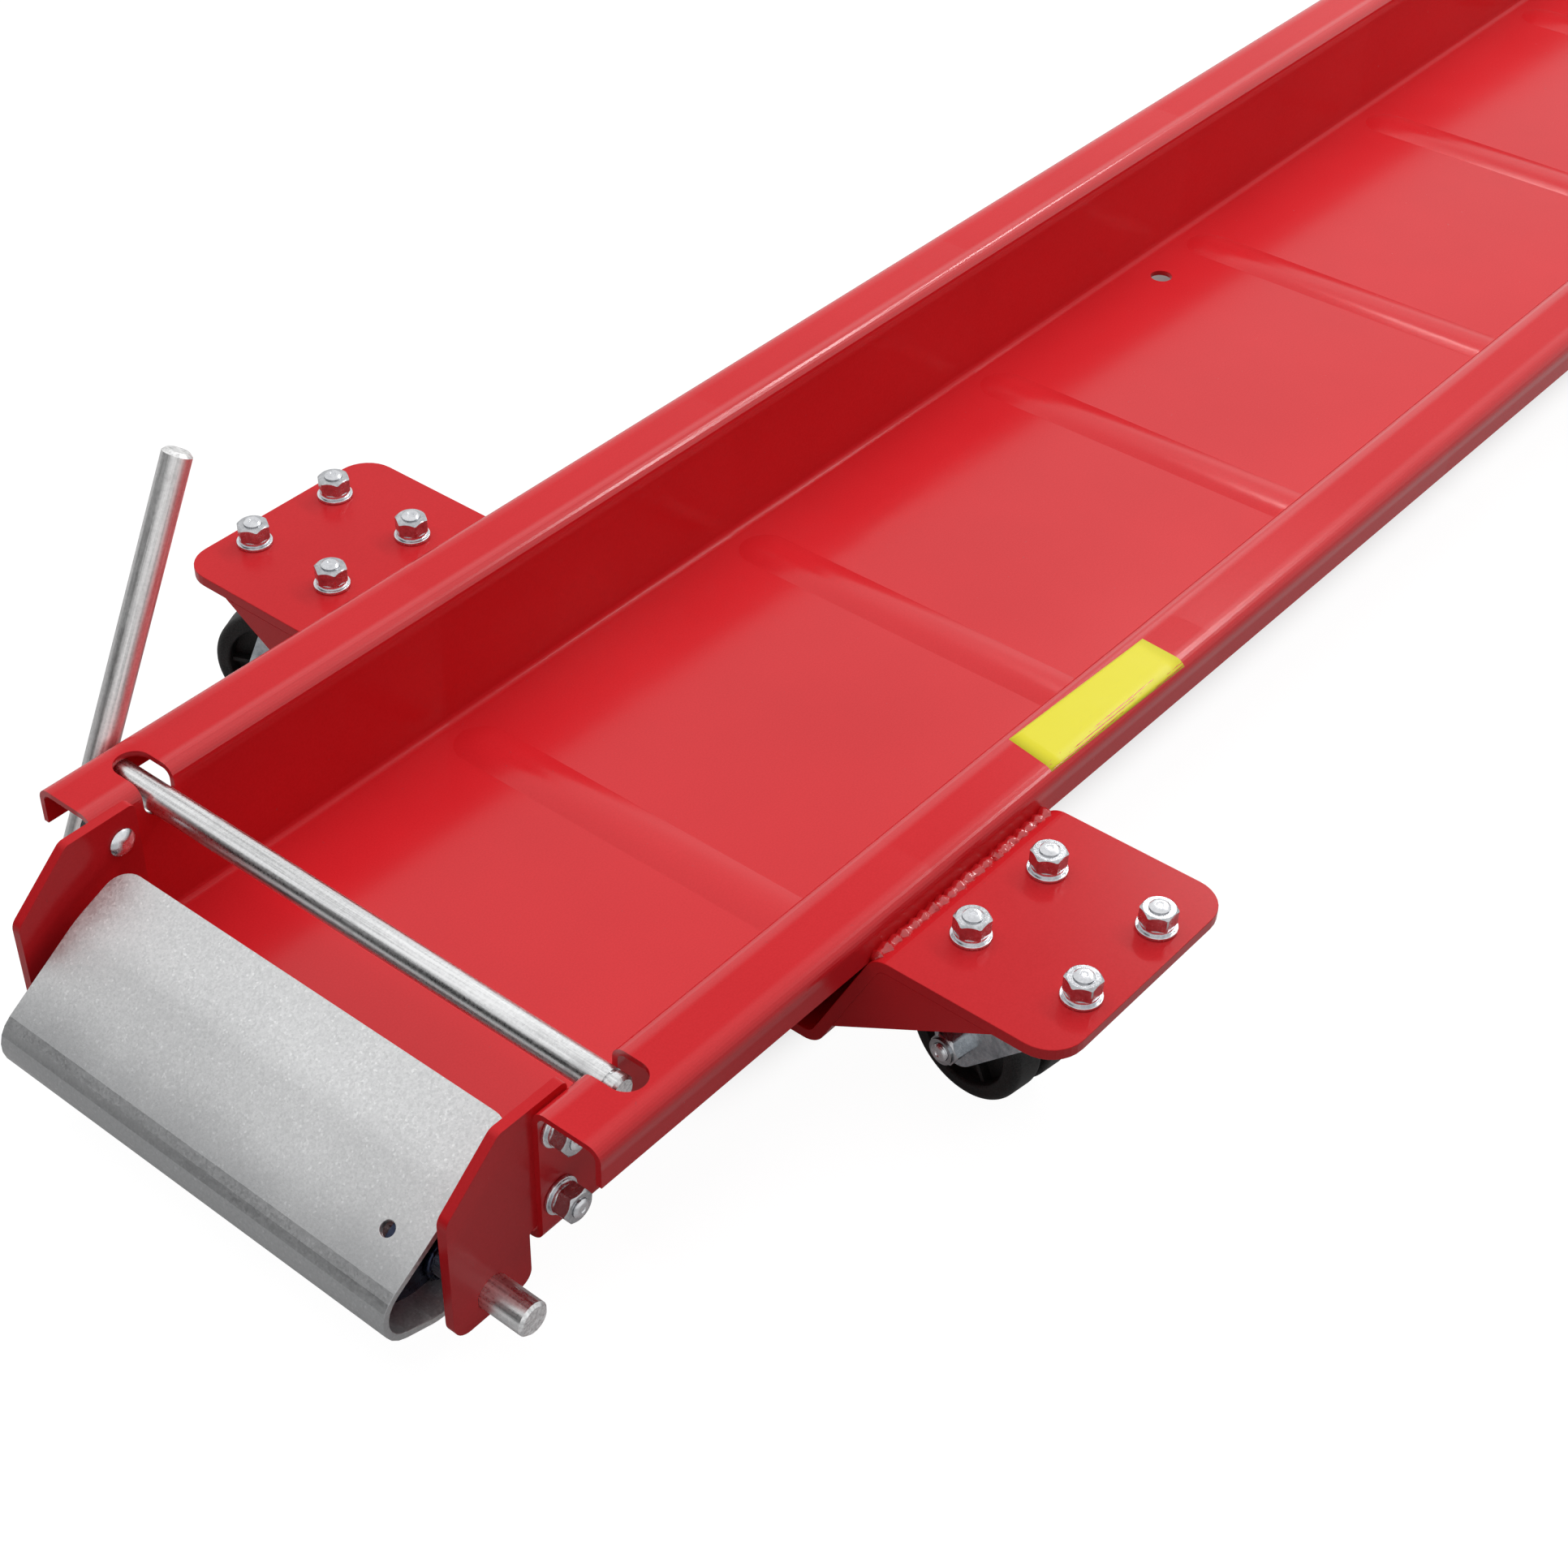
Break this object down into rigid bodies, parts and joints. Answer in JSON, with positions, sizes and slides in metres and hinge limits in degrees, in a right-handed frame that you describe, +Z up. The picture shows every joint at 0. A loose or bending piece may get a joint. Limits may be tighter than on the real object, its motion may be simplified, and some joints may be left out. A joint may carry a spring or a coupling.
{
  "type": "motorcycle mover dolly",
  "caption": "Long folded steel channel on swivel casters, with a hinged ramp flap worked by a lever and a loose stop rod, for rolling a parked motorcycle.",
  "frame": {"origin": "on the ground under the middle of the whole length and width", "axes": "+X from the ramp end to the far end, +Y to the left seen that way, +Z up"},
  "size_m": [2.2163, 0.5062, 0.2111],
  "materials": {
    "red_paint": "gloss powder coat",
    "bright_zinc": "bright zinc plate",
    "satin_zinc": "satin zinc plate",
    "dark_zinc": "dark oiled steel",
    "bright_steel": "drawn bright bar",
    "charcoal_plastic": "satin moulded"
  },
  "bodies": {
    "deck": {"deck_channel": "red_paint", "front_cross_member": "red_paint", "rear_cross_member": "red_paint", "front_left_gusset_a": "red_paint", "front_left_gusset_b": "red_paint", "front_right_gusset_a": "red_paint", "front_right_gusset_b": "red_paint", "rear_left_gusset_a": "red_paint", "rear_left_gusset_b": "red_paint", "rear_right_gusset_a": "red_paint", "rear_right_gusset_b": "red_paint", "left_ramp_bracket": "red_paint", "right_ramp_bracket": "red_paint", "far_wheel_stop": "red_paint", "wall_bolts": "bright_zinc", "wall_washers": "bright_zinc", "wall_lock_washers": "bright_zinc", "wall_nuts": "bright_zinc", "caster_bolts": "bright_zinc", "caster_washers": "bright_zinc", "caster_lock_washers": "bright_zinc", "caster_nuts": "bright_zinc", "swivel_balls": "bright_zinc", "front_left_plate": "bright_zinc", "front_left_kingpin": "bright_zinc", "front_right_plate": "bright_zinc", "front_right_kingpin": "bright_zinc", "rear_left_plate": "bright_zinc", "rear_left_kingpin": "bright_zinc", "rear_right_plate": "bright_zinc", "rear_right_kingpin": "bright_zinc"},
    "ramp": {"ramp_flap": "satin_zinc", "left_flap_rib": "dark_zinc", "right_flap_rib": "dark_zinc", "pivot_shaft": "bright_steel", "lever_bar": "bright_steel"},
    "stop_rod_body": {"stop_rod": "bright_steel"},
    "front_left_caster": {"front_left_fork": "bright_zinc", "front_left_axle_bolt": "bright_zinc", "front_left_axle_nut": "bright_zinc"},
    "front_left_roller_a": {"front_left_wheel_a": "charcoal_plastic"},
    "front_left_roller_b": {"front_left_wheel_b": "charcoal_plastic"},
    "front_right_caster": {"front_right_fork": "bright_zinc", "front_right_axle_bolt": "bright_zinc", "front_right_axle_nut": "bright_zinc"},
    "front_right_roller_a": {"front_right_wheel_a": "charcoal_plastic"},
    "front_right_roller_b": {"front_right_wheel_b": "charcoal_plastic"},
    "rear_left_caster": {"rear_left_fork": "bright_zinc", "rear_left_axle_bolt": "bright_zinc", "rear_left_axle_nut": "bright_zinc"},
    "rear_left_roller_a": {"rear_left_wheel_a": "charcoal_plastic"},
    "rear_left_roller_b": {"rear_left_wheel_b": "charcoal_plastic"},
    "rear_right_caster": {"rear_right_fork": "bright_zinc", "rear_right_axle_bolt": "bright_zinc", "rear_right_axle_nut": "bright_zinc"},
    "rear_right_roller_a": {"rear_right_wheel_a": "charcoal_plastic"},
    "rear_right_roller_b": {"rear_right_wheel_b": "charcoal_plastic"}
  },
  "joints": [
    {"name": "ramp_hinge", "type": "hinge", "parent": "deck", "child": "ramp", "pos_m": [-1.0658, 0, 0.0325], "axis": [0, -1, 0], "range_deg": [0, 55]},
    {"name": "stop_rod_lift", "type": "hinge", "parent": "deck", "child": "stop_rod_body", "pos_m": [-1.0088, 0.143, 0.0971], "axis": [-1, 0, 0], "range_deg": [0, 7]},
    {"name": "front_left_swivel", "type": "hinge", "parent": "deck", "child": "front_left_caster", "pos_m": [-0.8394, 0.1943, 0.05], "axis": [0, 0, 1], "continuous": true},
    {"name": "front_left_spin_a", "type": "hinge", "parent": "front_left_caster", "child": "front_left_roller_a", "pos_m": [-0.8512, 0.22079, 0.029], "axis": [-0.9135, -0.4067, 0], "continuous": true},
    {"name": "front_left_spin_b", "type": "hinge", "parent": "front_left_caster", "child": "front_left_roller_b", "pos_m": [-0.8512, 0.22079, 0.029], "axis": [-0.9135, -0.4067, 0], "continuous": true},
    {"name": "front_right_swivel", "type": "hinge", "parent": "deck", "child": "front_right_caster", "pos_m": [-0.8394, -0.1943, 0.05], "axis": [0, 0, 1], "continuous": true},
    {"name": "front_right_spin_a", "type": "hinge", "parent": "front_right_caster", "child": "front_right_roller_a", "pos_m": [-0.83551, -0.16556, 0.029], "axis": [-0.991, 0.134, 0], "continuous": true},
    {"name": "front_right_spin_b", "type": "hinge", "parent": "front_right_caster", "child": "front_right_roller_b", "pos_m": [-0.83551, -0.16556, 0.029], "axis": [-0.991, 0.134, 0], "continuous": true},
    {"name": "rear_left_swivel", "type": "hinge", "parent": "deck", "child": "rear_left_caster", "pos_m": [0.9058, 0.1943, 0.05], "axis": [0, 0, 1], "continuous": true},
    {"name": "rear_left_spin_a", "type": "hinge", "parent": "rear_left_caster", "child": "rear_left_roller_a", "pos_m": [0.90176, 0.16558, 0.029], "axis": [0.9903, -0.1392, 0], "continuous": true},
    {"name": "rear_left_spin_b", "type": "hinge", "parent": "rear_left_caster", "child": "rear_left_roller_b", "pos_m": [0.90176, 0.16558, 0.029], "axis": [0.9903, -0.1392, 0], "continuous": true},
    {"name": "rear_right_swivel", "type": "hinge", "parent": "deck", "child": "rear_right_caster", "pos_m": [0.9058, -0.1943, 0.05], "axis": [0, 0, 1], "continuous": true},
    {"name": "rear_right_spin_a", "type": "hinge", "parent": "rear_right_caster", "child": "rear_right_roller_a", "pos_m": [0.89401, -0.22079, 0.029], "axis": [0.9135, -0.4067, 0], "continuous": true},
    {"name": "rear_right_spin_b", "type": "hinge", "parent": "rear_right_caster", "child": "rear_right_roller_b", "pos_m": [0.89401, -0.22079, 0.029], "axis": [0.9135, -0.4067, 0], "continuous": true}
  ]
}
